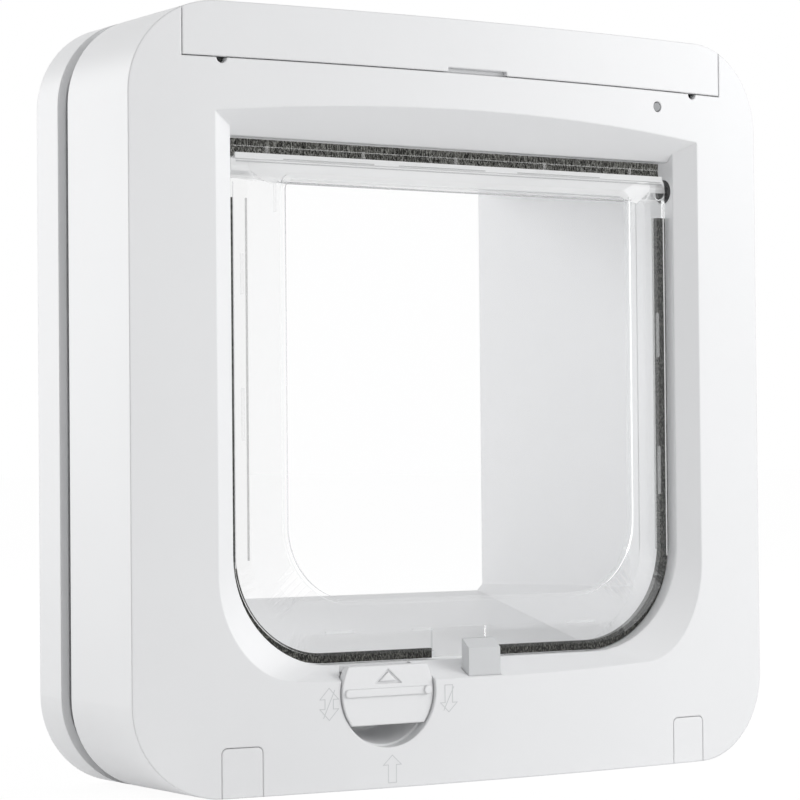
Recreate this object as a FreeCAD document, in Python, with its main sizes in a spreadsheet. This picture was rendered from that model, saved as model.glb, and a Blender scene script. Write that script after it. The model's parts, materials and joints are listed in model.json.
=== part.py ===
import FreeCAD, Part
import math
import os
import Sketcher
from FreeCAD import Placement, Rotation, Vector

# Cat flap, in millimetres.
# X runs across the door, Y through it towards the outdoors, Z up.
# Y = 0 is the door face that the inner frame sits on, Z = 0 is the bottom of both frames.

doc = FreeCAD.newDocument("cat_flap")
sheet = doc.addObject("Spreadsheet::Sheet", "Sizes")


def text_of(value):
    if isinstance(value, Size):
        return value.text
    return repr(float(value))


class Size(float):
    # A length that keeps the sheet expression it comes from.
    def __new__(cls, value, text):
        number = float.__new__(cls, value)
        number.text = text
        return number

    def __add__(self, other):
        return Size(float(self) + float(other), "(%s + %s)" % (self.text, text_of(other)))

    def __radd__(self, other):
        return Size(float(other) + float(self), "(%s + %s)" % (text_of(other), self.text))

    def __sub__(self, other):
        return Size(float(self) - float(other), "(%s - %s)" % (self.text, text_of(other)))

    def __rsub__(self, other):
        return Size(float(other) - float(self), "(%s - %s)" % (text_of(other), self.text))

    def __mul__(self, other):
        return Size(float(self) * float(other), "(%s * %s)" % (self.text, text_of(other)))

    def __rmul__(self, other):
        return self * other

    def __truediv__(self, other):
        return Size(float(self) / float(other), "(%s / %s)" % (self.text, text_of(other)))

    def __neg__(self):
        return Size(-float(self), "(-%s)" % self.text)


rows = []


def size(alias, value):
    rows.append(alias)
    cell = "B%d" % len(rows)
    sheet.set("A%d" % len(rows), alias)
    sheet.set(cell, str(value))
    sheet.setAlias(cell, alias)
    return Size(value, "Sizes." + alias)


# Clearances, and how far one form sinks into the next or a cut runs past a face
fit_gap = size("fit_gap", 0.3)
slide_gap = size("slide_gap", 0.2)
run_gap = size("run_gap", 0.1)
seat_gap = size("seat_gap", 0.05)
bite = size("bite", 0.5)
cut_past = size("cut_past", 2)

# Frames
frame_side = size("frame_side", 210)
frame_corner = size("frame_corner", 25)
face_rise = size("face_rise", 7.65)
housing_depth = size("housing_depth", 35)
frame_wall = size("frame_wall", 2.5)
hollow_depth = size("hollow_depth", 32.6)
corner_reach = size("corner_reach", 6)
corner_rise = size("corner_rise", 14)
door_gap = size("door_gap", 6)
outer_depth = size("outer_depth", 13)
half_side = frame_side / 2
face_centre = -housing_depth - face_rise
block_front = face_centre - 1
crown_radius = (half_side * half_side + face_rise * face_rise) / (face_rise * 2)
crown_axis = face_centre + crown_radius

# Opening and the sloped recess round it
open_half = size("open_half", 74.4)
open_bottom = size("open_bottom", 33.3)
open_top = size("open_top", 175.4)
open_corner = size("open_corner", 30)
lip_depth = size("lip_depth", -34.5)
passage_end = size("passage_end", -17)
hood_foot = size("hood_foot", -32)
hood_slope = size("hood_slope", 0.9)
recess_front = size("recess_front", -44)
recess_side = size("recess_side", 16.7)
recess_low = size("recess_low", 5.6)
recess_corner = size("recess_corner", 22)
passage_wall = size("passage_wall", 2)
backing_wall = size("backing_wall", 2.2)
recess_half = open_half + recess_side
recess_bottom = open_bottom - recess_low
hood_lip = open_top + (hood_foot - lip_depth) * hood_slope
hood_front = open_top + (hood_foot - recess_front) * hood_slope

# Flap, set in the opening by its play
flap_play = size("flap_play", 1.4)
flap_lift = size("flap_lift", 2.3)
flap_drop = size("flap_drop", 4.4)
flap_thick = size("flap_thick", 1.6)
band_front = size("band_front", -32.4)
band_wide = size("band_wide", 4.5)
band_slope = size("band_slope", 14)
panel_front = size("panel_front", -34)
panel_low = size("panel_low", 13.4)
panel_high = size("panel_high", 5)
panel_corner = size("panel_corner", 22)
top_corner = size("top_corner", 3)
bead_wide = size("bead_wide", 1.2)
bead_high = size("bead_high", 0.6)
bead_inset = size("bead_inset", 0.4)
hinge_y = size("hinge_y", -29.9)
hinge_drop = size("hinge_drop", 4.2)
barrel_radius = size("barrel_radius", 2.6)
pin_radius = size("pin_radius", 2.3)
bush_bore = size("bush_bore", 2.36)
bush_radius = size("bush_radius", 3.5)
strike_half = size("strike_half", 9)
strike_drop = size("strike_drop", 1.7)
strike_high = size("strike_high", 8.1)
pile_wide = size("pile_wide", 2.7)
pile_thick = size("pile_thick", 1.8)
pile_stop = size("pile_stop", 12)
flap_half = open_half - flap_play
flap_bottom = open_bottom + flap_lift
flap_top = open_top - flap_drop
flap_corner = open_corner - flap_play
panel_half = flap_half - band_slope
panel_bottom = flap_bottom + panel_low
panel_top = flap_top - panel_high
hinge_z = flap_top - hinge_drop
strike_bottom = flap_bottom - strike_drop
pile_half = open_half - fit_gap
pile_bottom = open_bottom + fit_gap
pile_corner = open_corner - fit_gap
pile_front = band_front + flap_thick

# Tunnel through the door: its floor rises and its lower corners close up towards the exit
tunnel_end = size("tunnel_end", 66)
tunnel_wall = size("tunnel_wall", 2)
tunnel_floor = size("tunnel_floor", 33.1)
exit_floor = size("exit_floor", 46.8)
exit_top = size("exit_top", 176.3)
exit_bevel = size("exit_bevel", 2)
rim_long = size("rim_long", 4)
rim_high = size("rim_high", 1)
flange_wide = size("flange_wide", 4)
flange_thick = size("flange_thick", 3)
collar_wall = size("collar_wall", 2.3)
back_cover_thick = size("back_cover_thick", 2.4)
coil_front = size("coil_front", -15)
coil_long = size("coil_long", 7)
coil_thick = size("coil_thick", 4)
coil_corner = size("coil_corner", 16)
BEVEL_STEP = 2 - math.sqrt(2)
tunnel_start = passage_end + slide_gap
start_bevel = open_corner * BEVEL_STEP

# Dial and its finger well
dial_x = size("dial_x", -30.7)
dial_z = size("dial_z", 25.9)
dial_radius = size("dial_radius", 14.5)
well_radius = size("well_radius", 14.95)
well_foot_radius = size("well_foot_radius", 14.4)
well_floor_radius = size("well_floor_radius", 11.5)
well_floor = size("well_floor", -28)
well_wall = size("well_wall", 2)
plate_front = size("plate_front", -41.7)
plate_thick = size("plate_thick", 2.4)
chord_up = size("chord_up", 7.2)
chord_down = size("chord_down", 8.8)
ridge_half = size("ridge_half", 1.1)
ridge_high = size("ridge_high", 0.4)
ridge_margin = size("ridge_margin", 0.8)
nub_radius = size("nub_radius", 1.2)
nub_high = size("nub_high", 0.8)
nub_margin = size("nub_margin", 2)
arrow_half = size("arrow_half", 4.4)
arrow_low = size("arrow_low", 2.3)
arrow_high = size("arrow_high", 6.2)
arrow_deep = size("arrow_deep", 0.4)
hub_radius = size("hub_radius", 4)
spindle_radius = size("spindle_radius", 2.9)
cam_hub = size("cam_hub", 3.2)
cam_lobe_half = size("cam_lobe_half", 1.2)
cam_reach = size("cam_reach", 3.9)
dial_screw_radius = size("dial_screw_radius", 1.2)
dial_screw_long = size("dial_screw_long", 8)
dial_head_radius = size("dial_head_radius", 2.4)
dial_head_thick = size("dial_head_thick", 1.4)
plate_back = plate_front + plate_thick
well_step = plate_back + bite

# Front latch, its motor and crank
latch_x = size("latch_x", 0.9)
latch_half = size("latch_half", 5.3)
latch_front = size("latch_front", -41.8)
latch_thick = size("latch_thick", 3.3)
latch_slope = size("latch_slope", 2.7)
latch_rise = size("latch_rise", 5.9)
latch_long = size("latch_long", 27.2)
slot_half = size("slot_half", 3)
slot_deep = size("slot_deep", 2.2)
slot_play = size("slot_play", 0.15)
motor_z = size("motor_z", 15.75)
motor_radius = size("motor_radius", 9)
motor_front = size("motor_front", -33.5)
motor_back = size("motor_back", -13)
motor_shaft = size("motor_shaft", 1)
motor_shaft_long = size("motor_shaft_long", 2.8)
motor_end_radius = size("motor_end_radius", 3)
motor_end_thick = size("motor_end_thick", 1.5)
crank_radius = size("crank_radius", 8.5)
crank_thick = size("crank_thick", 2.4)
crank_throw = size("crank_throw", 6.5)
crank_pin = size("crank_pin", 1.5)
crank_offset = size("crank_offset", 6.1)
bracket_front = size("bracket_front", -25.5)
bracket_wall = size("bracket_wall", 2)
bracket_rise = size("bracket_rise", 8)
latch_back = latch_front + latch_thick
latch_top = open_bottom + latch_rise
latch_bottom = latch_top - latch_long
motor_x = latch_x - crank_offset
crank_back = motor_front - bite
crank_front = crank_back - crank_thick

# Rear latch
rear_latch_half = size("rear_latch_half", 6)
rear_latch_front = size("rear_latch_front", -21)
rear_latch_thick = size("rear_latch_thick", 3.7)
rear_latch_bottom = size("rear_latch_bottom", 15)
fork_half = size("fork_half", 4.4)
fork_top = size("fork_top", 4.5)
guide_wall = size("guide_wall", 2)
rear_latch_back = rear_latch_front + rear_latch_thick
rear_latch_top = open_bottom - fit_gap

# Battery bay, counted down from the top of the frame
bay_half = size("bay_half", 90.2)
bay_high = size("bay_high", 15)
shelf_drop = size("shelf_drop", 4)
shelf_thick = size("shelf_thick", 2)
shelf_half = size("shelf_half", 82)
cover_wall = size("cover_wall", 2)
cover_shoulder = size("cover_shoulder", 80)
grip_half = size("grip_half", 9.8)
grip_high = size("grip_high", 1.2)
grip_deep = size("grip_deep", 1.7)
cell_radius = size("cell_radius", 7.25)
cell_long = size("cell_long", 50.5)
cell_tip_radius = size("cell_tip_radius", 2.7)
cell_tip_long = size("cell_tip_long", 1.2)
cell_back_y = size("cell_back_y", -12)
cell_pitch = size("cell_pitch", 15.5)
cell_play = size("cell_play", 0.15)
contact_play = size("contact_play", 0.25)
contact_thick = size("contact_thick", 0.6)
contact_half = size("contact_half", 5)
tray_wall = size("tray_wall", 1.5)
tray_side = size("tray_side", 1.1)
tray_high = size("tray_high", 8)
bay_bottom = frame_side - bay_high
shelf_top = bay_bottom - shelf_drop
shelf_under = shelf_top - shelf_thick
cell_z = shelf_top + tray_wall + cell_radius + cell_play
cell_front_y = cell_back_y - cell_pitch
tray_half = cell_play + cell_long + contact_play + contact_thick + tray_wall
tray_front = cell_front_y - cell_radius - bite - tray_side
tray_back = cell_back_y + cell_radius + bite + tray_side

# Circuit board, status light and memory button
board_drop = size("board_drop", 1.9)
board_thick = size("board_thick", 1.6)
board_half = size("board_half", 70)
board_front = size("board_front", -32)
board_back = size("board_back", -4)
post_x = size("post_x", 45)
post_half = size("post_half", 3)
post_margin = size("post_margin", 5)
light_x = size("light_x", 65)
light_drop = size("light_drop", 0.6)
light_radius = size("light_radius", 1.2)
light_base = size("light_base", 1.5)
light_slot = size("light_slot", 2.5)
button_gap = size("button_gap", 11)
button_y = size("button_y", -15)
button_radius = size("button_radius", 2.5)
button_travel = size("button_travel", 1.2)
button_cap_radius = size("button_cap_radius", 3.7)
button_cap_high = size("button_cap_high", 4)
board_top = shelf_under - board_drop
light_z = shelf_top - light_drop
button_x = -tray_half - button_gap

# Screws and their covers
screw_x = size("screw_x", 74.5)
screw_low = size("screw_low", 8.5)
screw_radius = size("screw_radius", 2)
screw_head = size("screw_head", 4)
head_gap = size("head_gap", 0.5)
head_seat = size("head_seat", -32)
head_thick = size("head_thick", 3)
head_slot_long = size("head_slot_long", 2.4)
head_slot_half = size("head_slot_half", 0.45)
head_slot_floor = size("head_slot_floor", 1.2)
boss_radius = size("boss_radius", 6.4)
pillar_half = size("pillar_half", 5.4)
pillar_corner = size("pillar_corner", 5)
cap_half = size("cap_half", 5.8)
cap_top = size("cap_top", 13.1)
cap_corner = size("cap_corner", 1.5)
cap_back = size("cap_back", -37)
cap_leg = size("cap_leg", 1.5)
cap_leg_back = size("cap_leg_back", -25)
cap_gap = size("cap_gap", 0.15)
notch_x = size("notch_x", 78.9)
notch_radius = size("notch_radius", 1.5)
cover_screw_edge = size("cover_screw_edge", 10)
cover_screw_level = size("cover_screw_level", 45)
cover_screw_radius = size("cover_screw_radius", 1.2)
cover_screw_long = size("cover_screw_long", 13)
cover_head_radius = size("cover_head_radius", 2.8)
cover_head_thick = size("cover_head_thick", 1.2)
cover_boss_half = size("cover_boss_half", 3.5)
screw_high = frame_side - screw_low
cover_screw_x = half_side - cover_screw_edge
doc.recompute()


def offset_value(sketch, kind, item, point, value):
    # Holds one point of the sketch at a bound distance from the origin.
    if abs(value) < 1e-9:
        axis = -2 if kind == "DistanceX" else -1
        sketch.addConstraint(Sketcher.Constraint("PointOnObject", item, point, axis))
        return
    index = sketch.addConstraint(Sketcher.Constraint(kind, -1, 1, item, point, float(value)))
    if isinstance(value, Size):
        sketch.setExpression("Constraints[%d]" % index, value.text)


def radius_value(sketch, item, value):
    index = sketch.addConstraint(Sketcher.Constraint("Radius", item, float(value)))
    if isinstance(value, Size):
        sketch.setExpression("Constraints[%d]" % index, value.text)


def line(sketch, start, end):
    return sketch.addGeometry(Part.LineSegment(Vector(start[0], start[1], 0), Vector(end[0], end[1], 0)))


def arc(sketch, centre, radius, start, end):
    circle = Part.Circle(Vector(centre[0], centre[1], 0), Vector(0, 0, 1), float(radius))
    return sketch.addGeometry(Part.ArcOfCircle(circle, math.radians(start), math.radians(end)))


def disc(sketch, across, up, radius):
    item = sketch.addGeometry(Part.Circle(Vector(across, up, 0), Vector(0, 0, 1), float(radius)))
    offset_value(sketch, "DistanceX", item, 3, across)
    offset_value(sketch, "DistanceY", item, 3, up)
    radius_value(sketch, item, radius)


def polygon(sketch, points):
    items = []
    for index, point in enumerate(points):
        items.append(line(sketch, point, points[(index + 1) % len(points)]))
    for index, item in enumerate(items):
        sketch.addConstraint(Sketcher.Constraint("Coincident", items[index - 1], 2, item, 1))
        offset_value(sketch, "DistanceX", item, 1, points[index][0])
        offset_value(sketch, "DistanceY", item, 1, points[index][1])


def panel(sketch, left, right, bottom, top, low=0, high=0):
    # A rectangle with rounded lower and upper corners, counted from the bottom edge.
    edges = [line(sketch, (left + low, bottom), (right - low, bottom))]
    if low:
        edges.append(arc(sketch, (right - low, bottom + low), low, 270, 360))
    edges.append(line(sketch, (right, bottom + low), (right, top - high)))
    if high:
        edges.append(arc(sketch, (right - high, top - high), high, 0, 90))
    edges.append(line(sketch, (right - high, top), (left + high, top)))
    if high:
        edges.append(arc(sketch, (left + high, top - high), high, 90, 180))
    edges.append(line(sketch, (left, top - high), (left, bottom + low)))
    if low:
        edges.append(arc(sketch, (left + low, bottom + low), low, 180, 270))
    smooth = {True: "Tangent", False: "Coincident"}
    straight = []
    for index, item in enumerate(edges):
        after = edges[(index + 1) % len(edges)]
        curved = [isinstance(sketch.Geometry[each], Part.ArcOfCircle) for each in (item, after)]
        sketch.addConstraint(Sketcher.Constraint(smooth[any(curved)], item, 2, after, 1))
        if curved[0]:
            radius_value(sketch, item, low if sketch.Geometry[item].Center.y < (bottom + top) / 2 else high)
        else:
            straight.append(item)
    for item, kind in zip(straight, ("Horizontal", "Vertical", "Horizontal", "Vertical")):
        sketch.addConstraint(Sketcher.Constraint(kind, item))
    offset_value(sketch, "DistanceY", straight[0], 1, bottom)
    offset_value(sketch, "DistanceX", straight[1], 1, right)
    offset_value(sketch, "DistanceY", straight[2], 1, top)
    offset_value(sketch, "DistanceX", straight[3], 1, left)


def crowned(sketch, inset, half, back):
    # The area between the curved face line, moved in by the inset, and a straight back line.
    radius = crown_radius - inset
    angle = math.degrees(math.asin(half / radius))
    depth = crown_axis - math.sqrt(radius * radius - half * half)
    curve = arc(sketch, (0, crown_axis), radius, 270 - angle, 270 + angle)
    right = line(sketch, (half, depth), (half, back))
    rear = line(sketch, (half, back), (-half, back))
    left = line(sketch, (-half, back), (-half, depth))
    for first, second in ((curve, right), (right, rear), (rear, left), (left, curve)):
        sketch.addConstraint(Sketcher.Constraint("Coincident", first, 2, second, 1))
    sketch.addConstraint(Sketcher.Constraint("Horizontal", rear))
    offset_value(sketch, "DistanceX", curve, 3, 0)
    offset_value(sketch, "DistanceY", curve, 3, crown_axis)
    radius_value(sketch, curve, radius)
    for item in (right, left):
        sketch.addConstraint(Sketcher.Constraint("Vertical", item))
    offset_value(sketch, "DistanceX", right, 1, half)
    offset_value(sketch, "DistanceX", left, 1, -half)
    offset_value(sketch, "DistanceY", rear, 1, back)


def new_body(name):
    return doc.addObject("PartDesign::Body", name)


def new_sketch(body, plane, level, draw):
    sketch = body.newObject("Sketcher::SketchObject", body.Name + "_outline")
    origin = [each for each in body.Origin.OriginFeatures if each.Role == plane + "_Plane"][0]
    sketch.AttachmentSupport = [(origin, "")]
    sketch.MapMode = "FlatFace"
    sign = -1 if plane == "XZ" else 1
    sketch.setExpression("AttachmentOffset.Base.z", text_of(level * sign))
    draw(sketch)
    return sketch


def prism(body, plane, start, end, draw):
    # Adds material from the start level up to the end level.
    sketch = new_sketch(body, plane, start, draw)
    pad = body.newObject("PartDesign::Pad", body.Name + "_pad")
    pad.Profile = sketch
    pad.Reversed = plane == "XZ"
    pad.setExpression("Length", text_of(end - start))
    return pad


def cut(body, plane, start, end, draw):
    # Takes material away from the start level up to the end level.
    sketch = new_sketch(body, plane, start, draw)
    pocket = body.newObject("PartDesign::Pocket", body.Name + "_pocket")
    pocket.Profile = sketch
    pocket.Reversed = plane != "XZ"
    pocket.setExpression("Length", text_of(end - start))
    return pocket


def loft(body, kind, sections):
    sketches = [new_sketch(body, "XZ", level, draw) for level, draw in sections]
    shape = body.newObject("PartDesign::%sLoft" % kind, body.Name + "_loft")
    shape.Profile = sketches[0]
    shape.Sections = sketches[1:]
    shape.Ruled = True
    return shape


def crown_trim(body):
    # Gives the front of a body the curve of the face.
    return cut(body, "XY", -cut_past, frame_side + cut_past * 2,
               lambda s: crowned(s, 0, half_side + cut_past * 8, face_centre - housing_depth))


def box(name, left, right, front, back, bottom, top):
    shape = doc.addObject("Part::Box", name)
    for key, low, high in (("Length", left, right), ("Width", front, back), ("Height", bottom, top)):
        shape.setExpression(key, text_of(high - low))
    for key, low in (("x", left), ("y", front), ("z", bottom)):
        shape.setExpression("Placement.Base." + key, text_of(low))
    return shape


TURNS = {"X": Rotation(Vector(0, 1, 0), 90), "Y": Rotation(Vector(1, 0, 0), -90), "Z": Rotation()}


def rod(name, axis, across, up, start, end, radius):
    # A round bar along one axis. The other two coordinates are given in X, Y, Z order.
    shape = doc.addObject("Part::Cylinder", name)
    shape.Placement = Placement(Vector(), TURNS[axis])
    places = {"X": (start, across, up), "Y": (across, start, up), "Z": (across, up, start)}[axis]
    shape.setExpression("Radius", text_of(radius))
    shape.setExpression("Height", text_of(end - start))
    for key, value in zip("xyz", places):
        shape.setExpression("Placement.Base." + key, text_of(value))
    return shape


def fuse(name, shapes):
    joined = doc.addObject("Part::MultiFuse", name)
    joined.Shapes = shapes
    joined.Refine = True
    return joined


def less(name, base, tool):
    rest = doc.addObject("Part::Cut", name)
    rest.Base = base
    rest.Tool = tool
    rest.Refine = True
    return rest


def group(name, shapes):
    together = doc.addObject("Part::Compound", name)
    together.Links = shapes
    return together


nodes = []


def finish(shape, name):
    shape.Label = name
    nodes.append(shape)


def frame_outline(inset):
    # The rounded square of both frames, moved in by the inset.
    return lambda s: panel(s, -half_side + inset, half_side - inset, inset, frame_side - inset,
                           frame_corner - inset, frame_corner - inset)


def bevelled(sketch, left, right, bottom, top, bevel):
    # A rectangle whose lower corners are cut off at 45 degrees.
    polygon(sketch, [(left + bevel, bottom), (right - bevel, bottom), (right, bottom + bevel),
                     (right, top), (left, top), (left, bottom + bevel)])


def tunnel_section(level):
    # Floor, ceiling and corner cut of the tunnel at one depth.
    share = (level - tunnel_start) / (tunnel_end - tunnel_start)
    ends = ((tunnel_floor, exit_floor), (open_top, exit_top), (start_bevel, exit_bevel))
    return [first + (last - first) * share for first, last in ends]


def tunnel_outline(front, rear, grow):
    # An outline that stays outside the tunnel's bore by some distance between two depths.
    floor = tunnel_section(front)[0]
    top, bevel = tunnel_section(rear)[1:]
    return lambda s: bevelled(s, -open_half - grow, open_half + grow, floor - grow, top + grow,
                              bevel + grow * BEVEL_STEP)


def across_from(middle, near, far, side):
    # Two places at one side of a middle, in rising order.
    return sorted([middle + near * side, middle + far * side])


SIDES = (-1, 1)
lower_screws = [(screw_x * side, screw_low) for side in SIDES]
upper_screws = [(screw_x * side, screw_high) for side in SIDES]
clamp_places = lower_screws + upper_screws
cover_places = [(cover_screw_x * side, level) for side in SIDES
                for level in (cover_screw_level, frame_side - cover_screw_level)]

# Inner frame: a crowned square housing, open to the door, with a battery bay open to the front and the top
frame = new_body("inner_frame")
prism(frame, "XZ", block_front, 0, frame_outline(0))
cut(frame, "XZ", -hollow_depth, cut_past, frame_outline(frame_wall))
for half, margin in ((half_side - frame_corner, frame_wall), (half_side - corner_reach, corner_rise)):
    cut(frame, "XY", margin, frame_side - margin, lambda s: crowned(s, frame_wall, half, cut_past))
cut(frame, "XZ", block_front - cut_past, -frame_wall,
    lambda s: panel(s, -bay_half, bay_half, bay_bottom, frame_side + cut_past))

# Ground for the dial well, the screws and the shelf over the circuit board
prism(frame, "XZ", face_centre, well_floor + well_wall,
      lambda s: disc(s, dial_x, dial_z, well_radius + well_wall))
for across, level in lower_screws:
    prism(frame, "XZ", cap_back - bite, 0, lambda s: disc(s, across, level, boss_radius))
    prism(frame, "XZ", cap_back - bite, cap_back + frame_wall,
          lambda s: panel(s, across - cap_half - frame_wall, across + cap_half + frame_wall, bite,
                          cap_top + frame_wall))
for across, level in cover_places:
    prism(frame, "XZ", -housing_depth - bite, -back_cover_thick,
          lambda s: panel(s, across - cover_boss_half, across + cover_boss_half,
                          level - cover_boss_half, level + cover_boss_half))
prism(frame, "XY", shelf_under, shelf_top,
      lambda s: crowned(s, bite, shelf_half, -back_cover_thick - fit_gap))
for across, level in upper_screws:
    prism(frame, "XZ", head_seat, -back_cover_thick,
          lambda s: panel(s, across - pillar_half, across + pillar_half, shelf_top - bite,
                          level + pillar_half, 0, pillar_corner))
for across in (-post_x, post_x):
    for depth in (board_front + post_margin, board_back - post_margin):
        prism(frame, "XY", board_top, shelf_under + bite,
              lambda s: panel(s, across - post_half, across + post_half, depth - post_half, depth + post_half))
for side in SIDES:
    left, right = across_from(dial_x, rear_latch_half + fit_gap, rear_latch_half + fit_gap + guide_wall, side)
    prism(frame, "XZ", well_floor + well_wall - bite, passage_end,
          lambda s: panel(s, left, right, rear_latch_bottom, open_bottom - passage_wall + bite))

# Holes for the status light, the memory button and the screws, and the seats of the screw covers
cut(frame, "XY", shelf_under - cut_past, shelf_top + cut_past,
    lambda s: panel(s, light_x - light_slot, light_x + light_slot, face_centre + corner_reach,
                    board_front + post_margin))
cut(frame, "XY", shelf_under - cut_past, shelf_top + cut_past,
    lambda s: disc(s, button_x, button_y, button_radius + run_gap))
cut(frame, "XZ", block_front - cut_past, board_front, lambda s: disc(s, light_x, light_z, light_radius + fit_gap))
for side in SIDES:
    cut(frame, "XZ", block_front - cut_past, -housing_depth,
        lambda s: disc(s, notch_x * side, bay_bottom, notch_radius))
for across, level in lower_screws:
    left = across - cap_half - cap_gap
    right = across + cap_half + cap_gap
    cut(frame, "XZ", block_front - cut_past, cap_back + cap_gap,
        lambda s: panel(s, left, right, -cut_past, cap_top + cap_gap, 0, cap_corner + cap_gap))
    cut(frame, "XZ", block_front - cut_past, cap_leg_back + cap_gap,
        lambda s: panel(s, left, right, -cut_past, cap_leg + cap_gap))
    cut(frame, "XZ", block_front - cut_past, head_seat, lambda s: disc(s, across, level, screw_head + head_gap))
for across, level in clamp_places:
    cut(frame, "XZ", head_seat - cut_past, cut_past, lambda s: disc(s, across, level, screw_radius + run_gap))
for across, level in cover_places:
    cut(frame, "XZ", -cover_screw_long - 1, cut_past,
        lambda s: disc(s, across, level, cover_screw_radius + run_gap))

# The recess: four slopes down to the lip, the upper one flat as a hood, and the passage behind it
loft(frame, "Additive", [
    (lip_depth, lambda s: bevelled(s, -open_half - backing_wall, open_half + backing_wall,
                                   open_bottom - backing_wall, hood_lip + backing_wall,
                                   (open_corner + backing_wall) * BEVEL_STEP)),
    (recess_front, lambda s: bevelled(s, -recess_half - backing_wall, recess_half + backing_wall,
                                      recess_bottom - backing_wall, hood_front + backing_wall,
                                      (recess_corner + backing_wall) * BEVEL_STEP))])
crown_trim(frame)
loft(frame, "Subtractive", [
    (lip_depth, lambda s: panel(s, -open_half, open_half, open_bottom, hood_lip, open_corner)),
    (recess_front, lambda s: panel(s, -recess_half, recess_half, recess_bottom, hood_front, recess_corner))])
loft(frame, "Subtractive", [
    (well_floor, lambda s: disc(s, dial_x, dial_z, well_floor_radius)),
    (well_step, lambda s: disc(s, dial_x, dial_z, well_foot_radius))])
cut(frame, "XZ", block_front, well_step, lambda s: disc(s, dial_x, dial_z, well_radius))
prism(frame, "XZ", lip_depth, passage_end,
      lambda s: panel(s, -open_half - passage_wall, open_half + passage_wall,
                      open_bottom - passage_wall, hood_lip + passage_wall, open_corner + passage_wall))
cut(frame, "XZ", recess_front, passage_end + cut_past,
    lambda s: panel(s, -open_half, open_half, open_bottom, open_top, open_corner))
cut(frame, "YZ", -open_half, open_half,
    lambda s: polygon(s, [(lip_depth, open_top - 1), (lip_depth, hood_lip), (hood_foot, open_top),
                          (hood_foot, open_top - 1)]))
cut(frame, "YZ", -open_half - passage_wall * 2, open_half + passage_wall * 2,
    lambda s: disc(s, hinge_y, hinge_z, bush_radius + seat_gap))

# Ways for the latches and the spindle
cut(frame, "XZ", latch_front - run_gap, latch_back + fit_gap,
    lambda s: panel(s, latch_x - latch_half - slide_gap, latch_x + latch_half + slide_gap,
                    latch_bottom - crank_throw - cut_past, latch_top + cut_past))
cut(frame, "XZ", well_floor - cut_past, well_floor + well_wall + cut_past,
    lambda s: disc(s, dial_x, dial_z, spindle_radius + run_gap))
cut(frame, "XZ", rear_latch_front - fit_gap, passage_end + cut_past,
    lambda s: panel(s, dial_x - rear_latch_half - fit_gap, dial_x + rear_latch_half + fit_gap,
                    open_bottom - passage_wall - 1, open_bottom + 1))
finish(frame, "inner_frame")

# Flap: a clear dished panel with a flat band, a raised bead, a hinge bar and a strike block
flap = new_body("flap")
prism(flap, "XZ", band_front, band_front + flap_thick,
      lambda s: panel(s, -flap_half, flap_half, flap_bottom, flap_top, flap_corner, top_corner))


def dish_foot(inset, drop):
    # The dish where it leaves the band.
    return lambda s: panel(s, -flap_half + inset, flap_half - inset, flap_bottom + inset, flap_top - drop,
                           flap_corner - inset, top_corner)


def dish_face(inset, drop):
    # The flat front of the dish.
    return lambda s: panel(s, -panel_half + inset, panel_half - inset, panel_bottom + inset, panel_top - drop,
                           panel_corner - inset, top_corner)


loft(flap, "Additive", [(band_front + run_gap, dish_foot(band_wide, 1)), (panel_front, dish_face(0, 0))])
loft(flap, "Subtractive", [(band_front + flap_thick, dish_foot(band_wide + 1.5, 7)),
                           (panel_front + flap_thick, dish_face(1, 3))])


def bead_outline(s):
    for inset in (bead_inset, bead_inset + bead_wide):
        dish_face(inset, inset)(s)


prism(flap, "XZ", panel_front - bead_high, panel_front + slide_gap, bead_outline)
prism(flap, "YZ", -flap_half, flap_half, lambda s: disc(s, hinge_y, hinge_z, barrel_radius))
prism(flap, "YZ", -open_half - passage_wall + slide_gap, open_half + passage_wall - slide_gap,
      lambda s: disc(s, hinge_y, hinge_z, pin_radius))
prism(flap, "XZ", band_front, hinge_y,
      lambda s: panel(s, -strike_half, strike_half, strike_bottom, strike_bottom + strike_high))
finish(flap, "flap")

# Pile strips on the rear of the band, against draughts
for side, name in ((-1, "pile_left"), (1, "pile_right")):
    pile = new_body(name)
    prism(pile, "XZ", pile_front, pile_front + pile_thick,
          lambda s: panel(s, -pile_half, pile_half, pile_bottom, flap_top - pile_stop, pile_corner))
    cut(pile, "XZ", pile_front - 1, pile_front + pile_thick + 1,
        lambda s: panel(s, -pile_half + pile_wide, pile_half - pile_wide, pile_bottom + pile_wide,
                        flap_top - pile_stop + 1, pile_corner - pile_wide))
    left, right = sorted([(pile_half + 1) * -side, (strike_half + fit_gap) * side])
    cut(pile, "XZ", pile_front - 1, pile_front + pile_thick + 1,
        lambda s: panel(s, left, right, pile_bottom - 1, flap_top))
    finish(pile, name)
pile = new_body("pile_top")
prism(pile, "XZ", pile_front, pile_front + pile_thick,
      lambda s: panel(s, -flap_half + 1, flap_half - 1, hinge_z + barrel_radius + slide_gap, open_top - bite))
finish(pile, "pile_top")

# Hinge bushes in the side walls of the opening
bushes = []
for side in SIDES:
    bush = new_body("hinge_bush")
    left, right = across_from(0, open_half, open_half + passage_wall + 1, side)
    prism(bush, "YZ", left, right, lambda s: disc(s, hinge_y, hinge_z, bush_radius))
    cut(bush, "YZ", left - 1, right + 1, lambda s: disc(s, hinge_y, hinge_z, bush_bore))
    bushes.append(bush)
finish(group("hinge_bushes", bushes), "hinge_bushes")

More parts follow.
